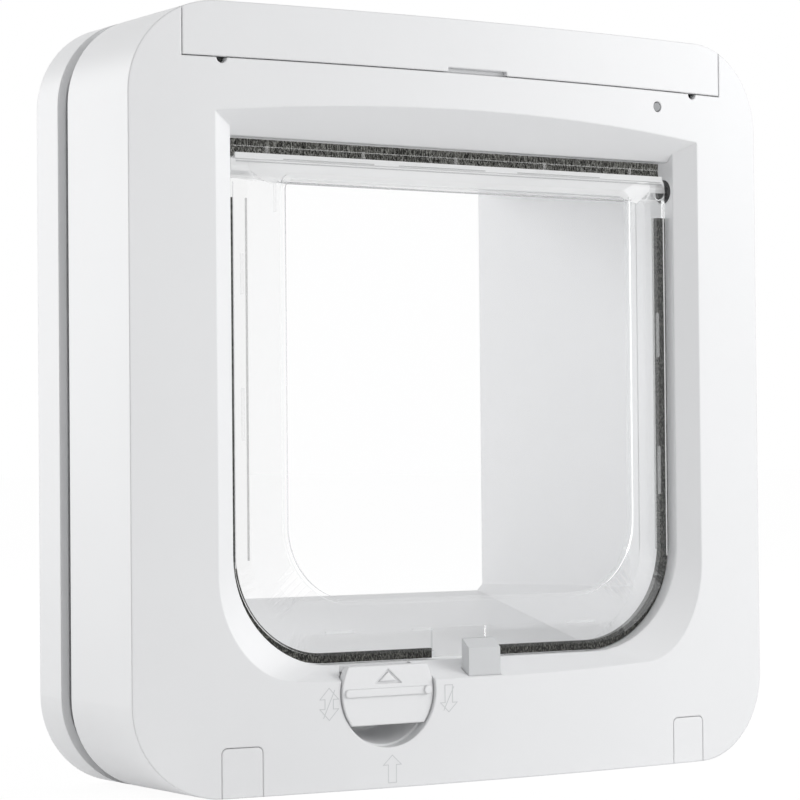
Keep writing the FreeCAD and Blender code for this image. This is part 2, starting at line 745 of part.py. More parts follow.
# Tunnel: a flange held by the rear cover, a ramped floor and a rim at the exit
flange_back = -back_cover_thick - fit_gap
flange_front = flange_back - flange_thick
tunnel = new_body("tunnel")
loft(tunnel, "Additive", [(level, tunnel_outline(level, level, tunnel_wall)) for level in (tunnel_start, tunnel_end)])
prism(tunnel, "XZ", flange_front, flange_back,
      tunnel_outline(flange_front, flange_back, tunnel_wall + flange_wide))
prism(tunnel, "XZ", tunnel_end - rim_long, tunnel_end,
      tunnel_outline(tunnel_end, tunnel_end, tunnel_wall + rim_high))
loft(tunnel, "Subtractive", [(level, tunnel_outline(level, level, 0)) for level in (tunnel_start, tunnel_end)])
finish(tunnel, "tunnel")

# Rear cover of the housing
back_cover = new_body("back_cover")
prism(back_cover, "XZ", -back_cover_thick, 0, frame_outline(frame_wall + fit_gap))
cut(back_cover, "XZ", -back_cover_thick - 1, cut_past,
    tunnel_outline(-back_cover_thick, back_cover_thick, tunnel_wall + fit_gap))
for places, radius in ((lower_screws, boss_radius + fit_gap), (upper_screws, screw_radius + run_gap),
                       (cover_places, cover_screw_radius + run_gap)):
    for across, level in places:
        cut(back_cover, "XZ", -back_cover_thick - 1, cut_past, lambda s: disc(s, across, level, radius))
for across, level in cover_places:
    cut(back_cover, "XZ", -cover_head_thick - run_gap, cut_past,
        lambda s: disc(s, across, level, cover_head_radius + slide_gap))
finish(back_cover, "back_cover")

# Outer frame: a tray open to the door, with a collar round the tunnel
outer_front = door_gap
outer_back = door_gap + outer_depth
outer_face = outer_back - frame_wall
outer = new_body("outer_frame")
prism(outer, "XZ", outer_front, outer_back, frame_outline(0))
cut(outer, "XZ", outer_front - 1, outer_face, frame_outline(frame_wall))
prism(outer, "XZ", outer_front, outer_face + bite,
      tunnel_outline(outer_front, outer_back, tunnel_wall + fit_gap + collar_wall))
for across, level in clamp_places:
    prism(outer, "XZ", outer_front + bite, outer_face + bite, lambda s: disc(s, across, level, boss_radius))
cut(outer, "XZ", outer_front - 1, outer_back + 1,
    tunnel_outline(outer_front, outer_back, tunnel_wall + fit_gap))
for across, level in clamp_places:
    cut(outer, "XZ", outer_front - 1, outer_face, lambda s: disc(s, across, level, screw_radius + run_gap))
finish(outer, "outer_frame")

# Front latch: a bar behind the face with a sloped top and a slot for the crank pin
pin_rise = crank_throw / 2
pin_z = motor_z + pin_rise
pin_half = crank_pin + slot_play
latch = new_body("front_latch")
prism(latch, "YZ", latch_x - latch_half, latch_x + latch_half,
      lambda s: polygon(s, [(latch_front, latch_bottom), (latch_back, latch_bottom), (latch_back, latch_top),
                            (latch_front, latch_top - latch_slope)]))
cut(latch, "XZ", latch_back - slot_deep, latch_back + 1,
    lambda s: panel(s, latch_x - slot_half, latch_x + slot_half, pin_z - pin_half, pin_z + pin_half))
finish(latch, "front_latch")

# Crank on the motor shaft, its pin half a stroke above the shaft
pin_x = motor_x + crank_throw * math.cos(math.radians(30))
crank = new_body("motor_crank")
prism(crank, "XZ", crank_front, crank_back, lambda s: disc(s, motor_x, motor_z, crank_radius))
prism(crank, "XZ", latch_back - slot_deep + fit_gap, crank_front + bite, lambda s: disc(s, pin_x, pin_z, crank_pin))
cut(crank, "XZ", crank_front - 1, crank_back + 1, lambda s: disc(s, motor_x, motor_z, motor_shaft + seat_gap))
finish(crank, "motor_crank")
finish(fuse("latch_motor", [
    rod("motor_can", "Y", motor_x, motor_z, motor_front, motor_back, motor_radius),
    rod("motor_shaft_rod", "Y", motor_x, motor_z, motor_front - motor_shaft_long, motor_front, motor_shaft),
    rod("motor_end", "Y", motor_x, motor_z, motor_back, motor_back + motor_end_thick, motor_end_radius)]),
    "latch_motor")
bracket_half = motor_radius + bracket_wall
bracket_block = box("bracket_block", motor_x - bracket_half, motor_x + bracket_half, bracket_front,
                    motor_back - 1, frame_wall, motor_z + bracket_rise)
bracket_bore = rod("bracket_bore", "Y", motor_x, motor_z, bracket_front - 1, motor_back, motor_radius + run_gap)
finish(less("motor_bracket", bracket_block, bracket_bore), "motor_bracket")

# Rear latch: a fork that straddles the cam
rear = new_body("rear_latch")
prism(rear, "XZ", rear_latch_front, rear_latch_back,
      lambda s: panel(s, dial_x - rear_latch_half, dial_x + rear_latch_half, rear_latch_bottom, rear_latch_top))
cut(rear, "XZ", rear_latch_front - 1, rear_latch_back + 1,
    lambda s: panel(s, dial_x - fork_half, dial_x + fork_half, rear_latch_bottom - 1, dial_z + fork_top))
finish(rear, "rear_latch")

# Dial: a plate cut by two chords, with a low ridge, a nub, an engraved arrow and a spindle
dial = new_body("lock_dial")
plate_past = dial_radius + 1
prism(dial, "XZ", plate_front, plate_back, lambda s: disc(s, dial_x, dial_z, dial_radius))
for low, high in ((chord_up, plate_past), (-plate_past, -chord_down)):
    cut(dial, "XZ", plate_front - 1, plate_back + 1,
        lambda s: panel(s, dial_x - plate_past, dial_x + plate_past, dial_z + low, dial_z + high))
ridge_reach = dial_radius - ridge_margin
prism(dial, "XZ", plate_front - ridge_high, plate_back - bite,
      lambda s: panel(s, dial_x - ridge_reach, dial_x + ridge_reach, dial_z - ridge_half, dial_z + ridge_half, 1, 1))
prism(dial, "XZ", plate_front - nub_high, plate_back - bite,
      lambda s: disc(s, dial_x + dial_radius - nub_margin, dial_z, nub_radius))


def arrow_outline(s):
    for half, low, high in ((arrow_half, arrow_low, arrow_high),
                            (arrow_half - 1.6, arrow_low + 0.6, arrow_high - 0.8)):
        polygon(s, [(dial_x - half, dial_z + low), (dial_x + half, dial_z + low), (dial_x, dial_z + high)])


cut(dial, "XZ", plate_front - 1, plate_front + arrow_deep, arrow_outline)
prism(dial, "XZ", plate_back - bite, well_floor - run_gap, lambda s: disc(s, dial_x, dial_z, hub_radius))
prism(dial, "XZ", well_floor - 1, rear_latch_front, lambda s: disc(s, dial_x, dial_z, spindle_radius))
cut(dial, "XZ", rear_latch_front - dial_screw_long - 1, rear_latch_front + 1,
    lambda s: disc(s, dial_x, dial_z, dial_screw_radius + run_gap))
finish(dial, "lock_dial")
cam = new_body("dial_cam")
prism(cam, "XZ", rear_latch_front, rear_latch_back, lambda s: disc(s, dial_x, dial_z, cam_hub))
prism(cam, "XZ", rear_latch_front, rear_latch_back,
      lambda s: panel(s, dial_x - cam_lobe_half, dial_x + cam_lobe_half, dial_z - cam_reach, dial_z, 1))
cut(cam, "XZ", rear_latch_front - 1, rear_latch_back + 1,
    lambda s: disc(s, dial_x, dial_z, dial_screw_radius + run_gap))
finish(cam, "dial_cam")
finish(fuse("dial_screw_parts", [
    rod("dial_screw_shaft", "Y", dial_x, dial_z, rear_latch_front - dial_screw_long, rear_latch_back + slide_gap,
        dial_screw_radius),
    rod("dial_screw_head", "Y", dial_x, dial_z, rear_latch_back, rear_latch_back + dial_head_thick,
        dial_head_radius)]), "dial_screw")

# Battery cover: a crowned cap over the bay that follows the rounded corners
lid_half = bay_half - fit_gap
lid_bottom = bay_bottom + fit_gap
lid = new_body("battery_cover")
prism(lid, "XZ", block_front, -frame_wall - fit_gap, frame_outline(0))
cut(lid, "XZ", block_front - 1, 0,
    lambda s: panel(s, -half_side - 1, half_side + 1, -1, lid_bottom))
for side in SIDES:
    left, right = across_from(0, lid_half, half_side + 1, side)
    cut(lid, "XZ", block_front - 1, 0, lambda s: panel(s, left, right, lid_bottom - 1, frame_side + 1))
crown_trim(lid)
cut(lid, "XY", lid_bottom - 1, frame_side - cover_wall * 2,
    lambda s: crowned(s, cover_wall, lid_half - cover_wall, 0))
cut(lid, "XY", lid_bottom - 1, frame_side - cover_wall, lambda s: crowned(s, cover_wall, cover_shoulder, 0))
cut(lid, "XZ", block_front - 1, face_centre + grip_deep,
    lambda s: panel(s, -grip_half, grip_half, lid_bottom - 1, bay_bottom + fit_gap + grip_high))
finish(lid, "battery_cover")

# Tray, cells and their contacts
tray = new_body("battery_tray")
prism(tray, "XY", shelf_top, shelf_top + tray_high, lambda s: panel(s, -tray_half, tray_half, tray_front, tray_back))
cut(tray, "XY", shelf_top + tray_wall, shelf_top + tray_high + 1,
    lambda s: panel(s, -tray_half + tray_wall, tray_half - tray_wall, tray_front + tray_side,
                    tray_back - tray_side))
finish(tray, "battery_tray")
cells = []
contacts = []
for side in SIDES:
    start = cell_play if side > 0 else -cell_long - cell_play
    body_end = start + cell_long - cell_tip_long
    left, right = across_from(0, tray_half - tray_wall - contact_thick, tray_half - tray_wall, side)
    for depth in (cell_front_y, cell_back_y):
        cells.append(fuse("cell", [
            rod("cell_can", "X", depth, cell_z, start, body_end, cell_radius),
            rod("cell_tip", "X", depth, cell_z, body_end - bite, start + cell_long, cell_tip_radius)]))
        contacts.append(box("contact", left, right, depth - contact_half, depth + contact_half,
                            shelf_top + tray_wall, cell_z + contact_half))
finish(group("batteries", cells), "batteries")
finish(group("battery_contacts", contacts), "battery_contacts")

# Circuit board under the shelf, with the status light and the memory button
finish(box("circuit_board", -board_half, board_half, board_front, board_back, board_top - board_thick, board_top),
       "circuit_board")
light_front = crown_axis - math.sqrt(crown_radius * crown_radius - light_x * light_x)
finish(fuse("status_light_parts", [
    rod("light_rod", "Y", light_x, light_z, light_front + slide_gap, board_front + cut_past, light_radius),
    box("light_foot", light_x - light_base, light_x + light_base, board_front + bite,
        board_front + bite + light_base * 2, board_top, light_z + 1)]), "status_light")
finish(fuse("memory_button_parts", [
    rod("button_stem", "Z", button_x, button_y, board_top + button_travel, shelf_top + button_cap_high - 1,
        button_radius),
    rod("button_cap", "Z", button_x, button_y, shelf_top + button_travel + slide_gap, shelf_top + button_cap_high,
        button_cap_radius)]), "memory_button")

# Reader coil round the start of the tunnel
coil = new_body("reader_coil")
coil_back = coil_front + coil_long
coil_inner = tunnel_wall + fit_gap
coil_floor = tunnel_section(coil_front)[0]
coil_roof = tunnel_section(coil_back)[1]


def coil_outline(s):
    for thick in (0, coil_thick):
        grow = coil_inner + thick
        panel(s, -open_half - grow, open_half + grow, coil_floor - grow, coil_roof + grow,
              coil_corner + thick, thick)


prism(coil, "XZ", coil_front, coil_back, coil_outline)
finish(coil, "reader_coil")

# Covers over the two lower screws, wrapped under the frame
for (across, level), name in zip(lower_screws, ("screw_cover_left", "screw_cover_right")):
    cap = new_body(name)
    prism(cap, "XZ", block_front, cap_back,
          lambda s: panel(s, across - cap_half, across + cap_half, 0, cap_top, 0, cap_corner))
    prism(cap, "XZ", block_front, cap_leg_back,
          lambda s: panel(s, across - cap_half, across + cap_half, 0, cap_leg))
    crown_trim(cap)
    finish(cap, name)

# Screws that clamp both frames to the door, and the small screws of the rear cover
clamps = []
for across, level in clamp_places:
    clamp = new_body("clamp_screw")
    prism(clamp, "XZ", head_seat - head_thick, head_seat, lambda s: disc(s, across, level, screw_head))
    prism(clamp, "XZ", head_seat, outer_face - 1.5, lambda s: disc(s, across, level, screw_radius))
    for wide, high in ((head_slot_long, head_slot_half), (head_slot_half, head_slot_long)):
        cut(clamp, "XZ", head_seat - head_thick - 1, head_seat - head_slot_floor,
            lambda s: panel(s, across - wide, across + wide, level - high, level + high))
    clamps.append(clamp)
finish(group("clamp_screws", clamps), "clamp_screws")
small = []
for across, level in cover_places:
    small.append(fuse("cover_screw", [
        rod("cover_screw_shaft", "Y", across, level, -cover_screw_long, -cover_head_thick + bite, cover_screw_radius),
        rod("cover_screw_head", "Y", across, level, -cover_head_thick - run_gap, -run_gap, cover_head_radius)]))
finish(group("cover_screws", small), "cover_screws")

doc.recompute()
for item in doc.Objects:
    for word in ("Invalid", "Error"):
        assert word not in item.State, "%s is %s, %s" % (item.Name, item.State, item.getStatusString())
os.makedirs("parts", exist_ok=True)
for shape in nodes:
    assert not shape.Shape.isNull() and shape.Shape.isValid(), shape.Label
    shape.Shape.exportStep("parts/%s.step" % shape.Label)
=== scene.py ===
import json
import math
import random

import bpy
from mathutils import Matrix, Vector
from mathutils.bvhtree import BVHTree


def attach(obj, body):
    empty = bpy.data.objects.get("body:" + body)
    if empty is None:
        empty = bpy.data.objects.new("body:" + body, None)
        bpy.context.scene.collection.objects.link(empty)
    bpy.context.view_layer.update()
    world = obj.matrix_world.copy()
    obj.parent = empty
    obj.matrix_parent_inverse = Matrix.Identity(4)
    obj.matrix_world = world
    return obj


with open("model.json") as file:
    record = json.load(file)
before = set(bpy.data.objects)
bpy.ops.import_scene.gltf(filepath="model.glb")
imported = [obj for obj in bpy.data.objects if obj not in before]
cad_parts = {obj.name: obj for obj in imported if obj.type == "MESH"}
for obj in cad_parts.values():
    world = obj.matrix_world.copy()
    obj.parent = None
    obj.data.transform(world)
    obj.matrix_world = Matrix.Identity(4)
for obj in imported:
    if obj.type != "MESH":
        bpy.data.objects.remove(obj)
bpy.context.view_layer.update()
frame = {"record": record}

MM = 0.001

# Driving dimensions of the frame, in millimetres
HALF = 105
FACE_RISE = 7.65
FACE_SIDE_Y = -35
CROWN_RADIUS = (HALF ** 2 + FACE_RISE ** 2) / (2 * FACE_RISE)
CROWN_AXIS = FACE_SIDE_Y - FACE_RISE + CROWN_RADIUS


def face_y(x):
    # Depth of the crowned face at a place across the frame.
    return CROWN_AXIS - math.sqrt(CROWN_RADIUS ** 2 - x ** 2)


# Materials

def node_tree(name):
    material = bpy.data.materials.new(name)
    material.use_nodes = True
    nodes = material.node_tree.nodes
    return material, nodes, material.node_tree.links, nodes["Principled BSDF"]


def noise(nodes, links, vector, scale, detail):
    texture = nodes.new("ShaderNodeTexNoise")
    texture.inputs["Scale"].default_value = scale
    texture.inputs["Detail"].default_value = detail
    links.new(vector, texture.inputs["Vector"])
    return texture.outputs["Fac"]


def spread(nodes, links, value, low, high, start=0.0, end=1.0):
    # Maps a noise value onto a range.
    ranged = nodes.new("ShaderNodeMapRange")
    ranged.inputs["From Min"].default_value = start
    ranged.inputs["From Max"].default_value = end
    ranged.inputs["To Min"].default_value = low
    ranged.inputs["To Max"].default_value = high
    links.new(value, ranged.inputs["Value"])
    return ranged.outputs["Result"]


def blend_colours(nodes, links, share, low, high):
    colour = nodes.new("ShaderNodeMix")
    colour.data_type = "RGBA"
    colour.inputs[6].default_value = (*low, 1)
    colour.inputs[7].default_value = (*high, 1)
    links.new(share, colour.inputs[0])
    return colour.outputs[2]


def relief(nodes, links, shader, height, strength, distance, edge=0.0):
    # Bump over the surface; an edge radius softens the moulded corners.
    bump = nodes.new("ShaderNodeBump")
    bump.inputs["Strength"].default_value = strength
    bump.inputs["Distance"].default_value = distance * MM
    links.new(height, bump.inputs["Height"])
    if edge:
        soft = nodes.new("ShaderNodeBevel")
        soft.samples = 6
        soft.inputs["Radius"].default_value = edge * MM
        links.new(soft.outputs["Normal"], bump.inputs["Normal"])
    links.new(bump.outputs["Normal"], shader.inputs["Normal"])


def object_space(nodes, links, stretch=(1, 1, 1)):
    place = nodes.new("ShaderNodeTexCoord")
    turn = nodes.new("ShaderNodeMapping")
    turn.inputs["Scale"].default_value = stretch
    links.new(place.outputs["Object"], turn.inputs["Vector"])
    return turn.outputs["Vector"]


def surface(name, low, high, rough, grain, bump, scale=400.0, metallic=0.0, coat=0.0,
            stretch=(1, 1, 1), edge=0.0):
    # Colour varies broadly, roughness and relief vary over a fine grain.
    material, nodes, links, shader = node_tree(name)
    vector = object_space(nodes, links, stretch)
    broad = noise(nodes, links, vector, scale * 0.05, 3)
    fine = noise(nodes, links, vector, scale * 5, 5)
    links.new(blend_colours(nodes, links, broad, low, high), shader.inputs["Base Color"])
    links.new(spread(nodes, links, fine, rough - grain, rough + grain), shader.inputs["Roughness"])
    relief(nodes, links, shader, fine, bump, 0.05, edge)
    shader.inputs["Metallic"].default_value = metallic
    shader.inputs["Coat Weight"].default_value = coat
    return material


def film(name, tint, share, rough):
    # Thin clear plastic: light passes straight through all but a small share, which is a faint haze.
    material, nodes, links, shader = node_tree(name)
    vector = object_space(nodes, links)
    fine = noise(nodes, links, vector, 90, 4)
    shader.inputs["Base Color"].default_value = (*tint, 1)
    shader.inputs["Alpha"].default_value = share
    links.new(spread(nodes, links, fine, rough * 0.6, rough * 1.4), shader.inputs["Roughness"])
    relief(nodes, links, shader, fine, 0.05, 0.05)
    return material


def prismatic(name, tint, rough, ior):
    # Moulded edges and ribs of the clear plastic, which bend the light.
    material, nodes, links, shader = node_tree(name)
    vector = object_space(nodes, links)
    fine = noise(nodes, links, vector, 120, 4)
    shader.inputs["Base Color"].default_value = (*tint, 1)
    shader.inputs["Transmission Weight"].default_value = 1.0
    shader.inputs["IOR"].default_value = ior
    links.new(spread(nodes, links, fine, rough * 0.6, rough * 1.4), shader.inputs["Roughness"])
    relief(nodes, links, shader, fine, 0.1, 0.05)
    return material


def brush(name, dark, light, scale, threshold=0.5):
    # Short dense pile: dark and light fibre ends lie side by side.
    material, nodes, links, shader = node_tree(name)
    vector = object_space(nodes, links, (1, 1, 0.6))
    ends = noise(nodes, links, vector, scale, 2)
    share = spread(nodes, links, ends, 0.0, 1.0, threshold - 0.09, threshold + 0.13)
    links.new(blend_colours(nodes, links, share, dark, light), shader.inputs["Base Color"])
    shader.inputs["Roughness"].default_value = 0.95
    shader.inputs["Sheen Weight"].default_value = 0.3
    relief(nodes, links, shader, ends, 1.0, 0.4)
    return material


MATERIALS = {
    "white_shell": surface("white_shell", (0.80, 0.805, 0.815), (0.84, 0.845, 0.855), 0.42, 0.05, 0.2, edge=0.7),
    "clear_panel": film("clear_panel", (0.95, 0.96, 0.97), 0.03, 0.05),
    "draught_pile": brush("draught_pile", (0.012, 0.012, 0.01), (0.3, 0.3, 0.28), 2600),
    "dark_plastic": surface("dark_plastic", (0.02, 0.02, 0.022), (0.04, 0.04, 0.042), 0.45, 0.08, 0.3, edge=0.3),
    "latch_grey": surface("latch_grey", (0.60, 0.61, 0.62), (0.66, 0.67, 0.68), 0.4, 0.06, 0.25, edge=0.4),
    "steel": surface("steel", (0.5, 0.5, 0.51), (0.62, 0.62, 0.63), 0.32, 0.1, 0.3, metallic=1.0, edge=0.2),
    "cell_sleeve": surface("cell_sleeve", (0.1, 0.11, 0.12), (0.16, 0.17, 0.18), 0.3, 0.05, 0.1, metallic=0.4,
                           edge=2.5),
    "contact_metal": surface("contact_metal", (0.7, 0.7, 0.66), (0.8, 0.8, 0.77), 0.25, 0.05, 0.2, metallic=1.0),
    "board_green": surface("board_green", (0.01, 0.09, 0.04), (0.02, 0.14, 0.07), 0.35, 0.05, 0.3, coat=0.4),
    "light_lens": surface("light_lens", (0.3, 0.31, 0.32), (0.4, 0.41, 0.42), 0.15, 0.03, 0.05, coat=0.5),
    "coil_copper": surface("coil_copper", (0.45, 0.16, 0.06), (0.6, 0.25, 0.1), 0.35, 0.08, 0.5, 900, metallic=0.8,
                           stretch=(1, 12, 1)),
}
HAZE = film("clear_band", (0.93, 0.94, 0.95), 0.16, 0.12)
TAB = film("clear_tab", (0.9, 0.9, 0.89), 0.28, 0.12)
# A grey film for the flap's outer rim: painted shade, as the plastic itself is clear.
RIM = film("clear_rim_painted_shade", (0.55, 0.56, 0.56), 0.1, 0.12)
THICK = film("clear_barrel", (0.97, 0.975, 0.98), 0.5, 0.1)
# Grey lines on the clear plastic: painted shade standing in for the light that its edges and steps bend aside.
EDGE_SHADE = film("clear_edge_painted_shade", (0.42, 0.43, 0.43), 0.36, 0.1)
# Milky film for the flap's top lip, also used for the painted highlight lines on the flap's side edges.
MILKY_AND_HIGHLIGHT = film("clear_lip_and_painted_highlight", (0.95, 0.955, 0.96), 0.72, 0.15)
RIB = prismatic("clear_rib", (0.86, 0.88, 0.88), 0.08, 1.22)
MARK = surface("mark_grey", (0.60, 0.61, 0.62), (0.68, 0.69, 0.70), 0.6, 0.05, 0.2)
# The side strips of pile get a darker copy of the pile's colours: painted shade of the narrow gaps beside the
# flap.
SHADED_SIDE_PILE = brush("side_pile_painted_shade", (0.005, 0.005, 0.004), (0.13, 0.13, 0.115), 2200, 0.54)

slots = {entry["node"]: entry["material_slot"] for entry in frame["record"]["subparts"]}
for node, slot in slots.items():
    piece = bpy.data.objects[node]
    piece.data.materials.clear()
    piece.data.materials.append(SHADED_SIDE_PILE if node in ("pile_left", "pile_right") else MATERIALS[slot])

# The flap's flat middle is clearest, its sloped band is hazy, and its edges and ribs bend the light.
PANEL_HALF, PANEL_LOW, PANEL_HIGH = 57.4, 50.7, 164.3
BARREL_LOW, BARREL_HALF = 163.8, 72
RIM_LOW, RIM_HALF = 40.1, 68.5
FLAT_ENOUGH = 0.75
HAZE_INDEX, RIB_INDEX, THICK_INDEX, RIM_INDEX = 1, 2, 3, 4
flap_mesh = bpy.data.objects["flap"].data
for material in (HAZE, RIB, THICK, RIM):
    flap_mesh.materials.append(material)
for polygon in flap_mesh.polygons:
    x, z = polygon.center[0] / MM, polygon.center[2] / MM
    if z > BARREL_LOW and abs(x) < BARREL_HALF:
        polygon.material_index = THICK_INDEX
    elif abs(polygon.normal[1]) < FLAT_ENOUGH:
        polygon.material_index = RIB_INDEX
    # The outer rim gets the grey film of painted shade.
    elif abs(x) > RIM_HALF or z < RIM_LOW:
        polygon.material_index = RIM_INDEX
    elif abs(x) > PANEL_HALF or not PANEL_LOW < z < PANEL_HIGH:
        polygon.material_index = HAZE_INDEX

# The cells' ends are bare metal.
cell_mesh = bpy.data.objects["batteries"].data
cell_mesh.materials.append(MATERIALS["contact_metal"])
for polygon in cell_mesh.polygons:
    if abs(polygon.normal[0]) > 0.9:
        polygon.material_index = 1


# Mesh helpers, with sizes in millimetres

def mesh_piece(name, verts, faces, materials, body, face_material=None):
    mesh = bpy.data.meshes.new(name)
    mesh.from_pydata([Vector(v) * MM for v in verts], [], faces)
    mesh.update()
    piece = bpy.data.objects.new(name, mesh)
    bpy.context.scene.collection.objects.link(piece)
    for material in materials:
        mesh.materials.append(material)
    if face_material:
        for polygon, index in zip(mesh.polygons, face_material):
            polygon.material_index = index
    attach(piece, body)
    return piece


BOX_FACES = [(0, 1, 3, 2), (4, 6, 7, 5), (0, 4, 5, 1), (2, 3, 7, 6), (0, 2, 6, 4), (1, 5, 7, 3)]


def bars(name, boxes, material, body, soft):
    # Small bars with rounded edges, as one piece.
    verts, faces = [], []
    for (left, right), (front, back), (low, high) in boxes:
        base = len(verts)
        verts += [(x, y, z) for x in (left, right) for y in (front, back) for z in (low, high)]
        faces += [tuple(base + index for index in face) for face in BOX_FACES]
    piece = mesh_piece(name, verts, faces, [material], body)
    edge = piece.modifiers.new("edge", "BEVEL")
    edge.width = soft * MM
    edge.segments = 2
    return piece


def surface_tree(node):
    mesh = bpy.data.objects[node].data
    return BVHTree.FromPolygons([vertex.co.copy() for vertex in mesh.vertices],
                                [tuple(polygon.vertices) for polygon in mesh.polygons])


HOSTS = {node: surface_tree(node) for node in ("flap", "pile_top")}
SINK = 0.12
RAY_START = -200


def seated(node, across, up, proud):
    # A bar's three spans, with its back sunk into the node's front face all along it.
    depths = []
    for share_x in (0.02, 0.25, 0.5, 0.75, 0.98):
        for share_z in (0.05, 0.5, 0.95):
            x = across[0] + (across[1] - across[0]) * share_x
            z = up[0] + (up[1] - up[0]) * share_z
            hit = HOSTS[node].ray_cast(Vector((x, RAY_START, z)) * MM, Vector((0, 1, 0)))[0]
            if hit is None:
                raise ValueError("no surface behind a bar on " + node)
            depths.append(hit.y / MM)
    return across, (min(depths) - proud, max(depths) + SINK), up


# Flap fittings: the rib between the two rows of the upper pile, its tabs, and the clips of the lower pile
PILE_FRONT = -30.8
FLAP_TOP = 171.0
PILE_TOP = 174.9
ROW_SPLIT = 172.9
TAB_PITCH = 30.6
bars("pile_rib", [seated("pile_top", (-71.8, 71.8), (ROW_SPLIT - 0.14, ROW_SPLIT + 0.14), 0.35)],
     TAB, "flap", 0.08)
bars("pile_tabs", [seated("pile_top", (TAB_PITCH * step - 0.5, TAB_PITCH * step + 0.5),
                          (FLAP_TOP + 0.1, ROW_SPLIT + 0.3), 0.5) for step in range(-2, 3)],
     TAB, "flap", 0.15)
bars("flap_lip", [seated("flap", (-71.9, 71.9), (169.3, FLAP_TOP - 0.05), 0.25)],
     MILKY_AND_HIGHLIGHT, "flap", 0.12)
CLIPS = [((-45, -36), (41.5, 42.3)), ((-17, -10), (41.3, 42.1)), ((35.7, 45.6), (41.5, 42.3)),
         ((-70.4, -69.4), (94, 108)), ((-70.4, -69.4), (133, 144)), ((69.4, 70.4), (78, 92)), ((69.4, 70.4), (118, 131))]
bars("pile_clips", [seated("flap", across, up, 0.3) for across, up in CLIPS],
     HAZE, "flap", 0.12)
# The step where the flap's band meets its rim, and the panel's upper corners, get soft grey lines: painted shade
# standing in for the light these edges of the clear plastic bend aside
bars("band_step", [seated("flap", (side * RIM_HALF - 0.3, side * RIM_HALF + 0.3), (62, 158.8), 0.2)
                   for side in (-1, 1)], EDGE_SHADE, "flap", 0.1)
# Thin white lines along the flap's side edges: painted highlight of the light caught on these edges.
bars("rim_lines", [seated("flap", (side * 72.45 - 0.15, side * 72.45 + 0.15), (60, 163), 0.2) for side in (-1, 1)],
     MILKY_AND_HIGHLIGHT, "flap", 0.08)
bars("panel_corners", [seated("flap", (side * 60.3 - 0.4, side * 60.3 + 0.4), (155.2, 163.2), 0.12)
                       for side in (-1, 1)], HAZE, "flap", 0.1)
# Dark lines across the hinge bar: painted shade standing in for the light its clear edges bend aside.
bars("hinge_lines", [seated("flap", (-71.5, 71.5), (168.4, 168.75), 0.15)]
     + [seated("flap", (left, left + 29), (169.5, 169.8), 0.4) for left in (-57, -20, 20)],
     EDGE_SHADE, "flap", 0.08)


def fibres(name, start, end, pitch, low, high, front, seed):
    # Upright fibre ends of the upper pile, each a thin three-sided spike rooted in the pile's face.
    draw = random.Random(seed)
    verts, faces, kinds = [], [], []
    place = start
    while place < end:
        foot = low + draw.uniform(0, 1.6)
        tip = high - draw.uniform(0, 0.5)
        wide = draw.uniform(0.1, 0.17)
        lean = draw.uniform(-0.25, 0.25)
        depth = front + draw.uniform(0.02, 0.1)
        base = len(verts)
        verts += [(place - wide, depth, foot), (place + wide, depth, foot), (place, depth - 0.26, foot),
                  (place + lean, depth - 0.08, tip)]
        faces += [(base, base + 1, base + 2), (base, base + 3, base + 1), (base + 1, base + 3, base + 2),
                  (base + 2, base + 3, base)]
        kinds += [draw.choice((0, 0, 1, 1, 2))] * 4
        place += pitch * draw.uniform(0.6, 1.4)
    return mesh_piece(name, verts, faces, FIBRES, "flap", kinds)


FIBRES = [surface("fibre_dark", (0.01, 0.01, 0.008), (0.03, 0.03, 0.026), 0.8, 0.05, 0.3, 900),
          surface("fibre_mid", (0.10, 0.10, 0.09), (0.2, 0.2, 0.18), 0.8, 0.05, 0.3, 900),
          surface("fibre_light", (0.38, 0.38, 0.36), (0.55, 0.55, 0.52), 0.8, 0.05, 0.3, 900)]
ROW_HALF = 71.5
FIBRE_PITCH = 0.2
fibres("pile_fibres_low", -ROW_HALF, ROW_HALF, FIBRE_PITCH, FLAP_TOP + 0.15, ROW_SPLIT + 0.3, PILE_FRONT, 11)
fibres("pile_fibres_high", -ROW_HALF, ROW_HALF, FIBRE_PITCH, ROW_SPLIT - 0.3, PILE_TOP + 0.2, PILE_FRONT, 12)


# Signs round the dial: outline arrows in fine raised lines

LINE_WIDE = 0.22
LINE_HIGH = 0.03


def sign(name, centre, half_wide, half_high, outlines):
    # Each outline is a run of places in units of the sign's half size.
    verts, faces = [], []
    for closed, points in outlines:
        places = [(centre[0] + u * half_wide, centre[1] + v * half_high) for u, v in points]
        count = len(places) if closed else len(places) - 1
        for index in range(count):
            first = Vector(places[index])
            second = Vector(places[(index + 1) % len(places)])
            run = (second - first).normalized() * LINE_WIDE / 2
            side = Vector((-run.y, run.x))
            base = len(verts)
            for x, z in (first - run + side, first - run - side, second + run - side, second + run + side):
                verts += [(x, face_y(x) - LINE_HIGH, z), (x, face_y(x) + LINE_HIGH, z)]
            faces += [tuple(base + step for step in (0, 2, 4, 6)), tuple(base + step for step in (7, 5, 3, 1))]
            faces += [(base + step, base + step + 1, base + (step + 3) % 8, base + (step + 2) % 8)
                      for step in (0, 2, 4, 6)]
    return mesh_piece(name, verts, faces, [MARK], "frame")


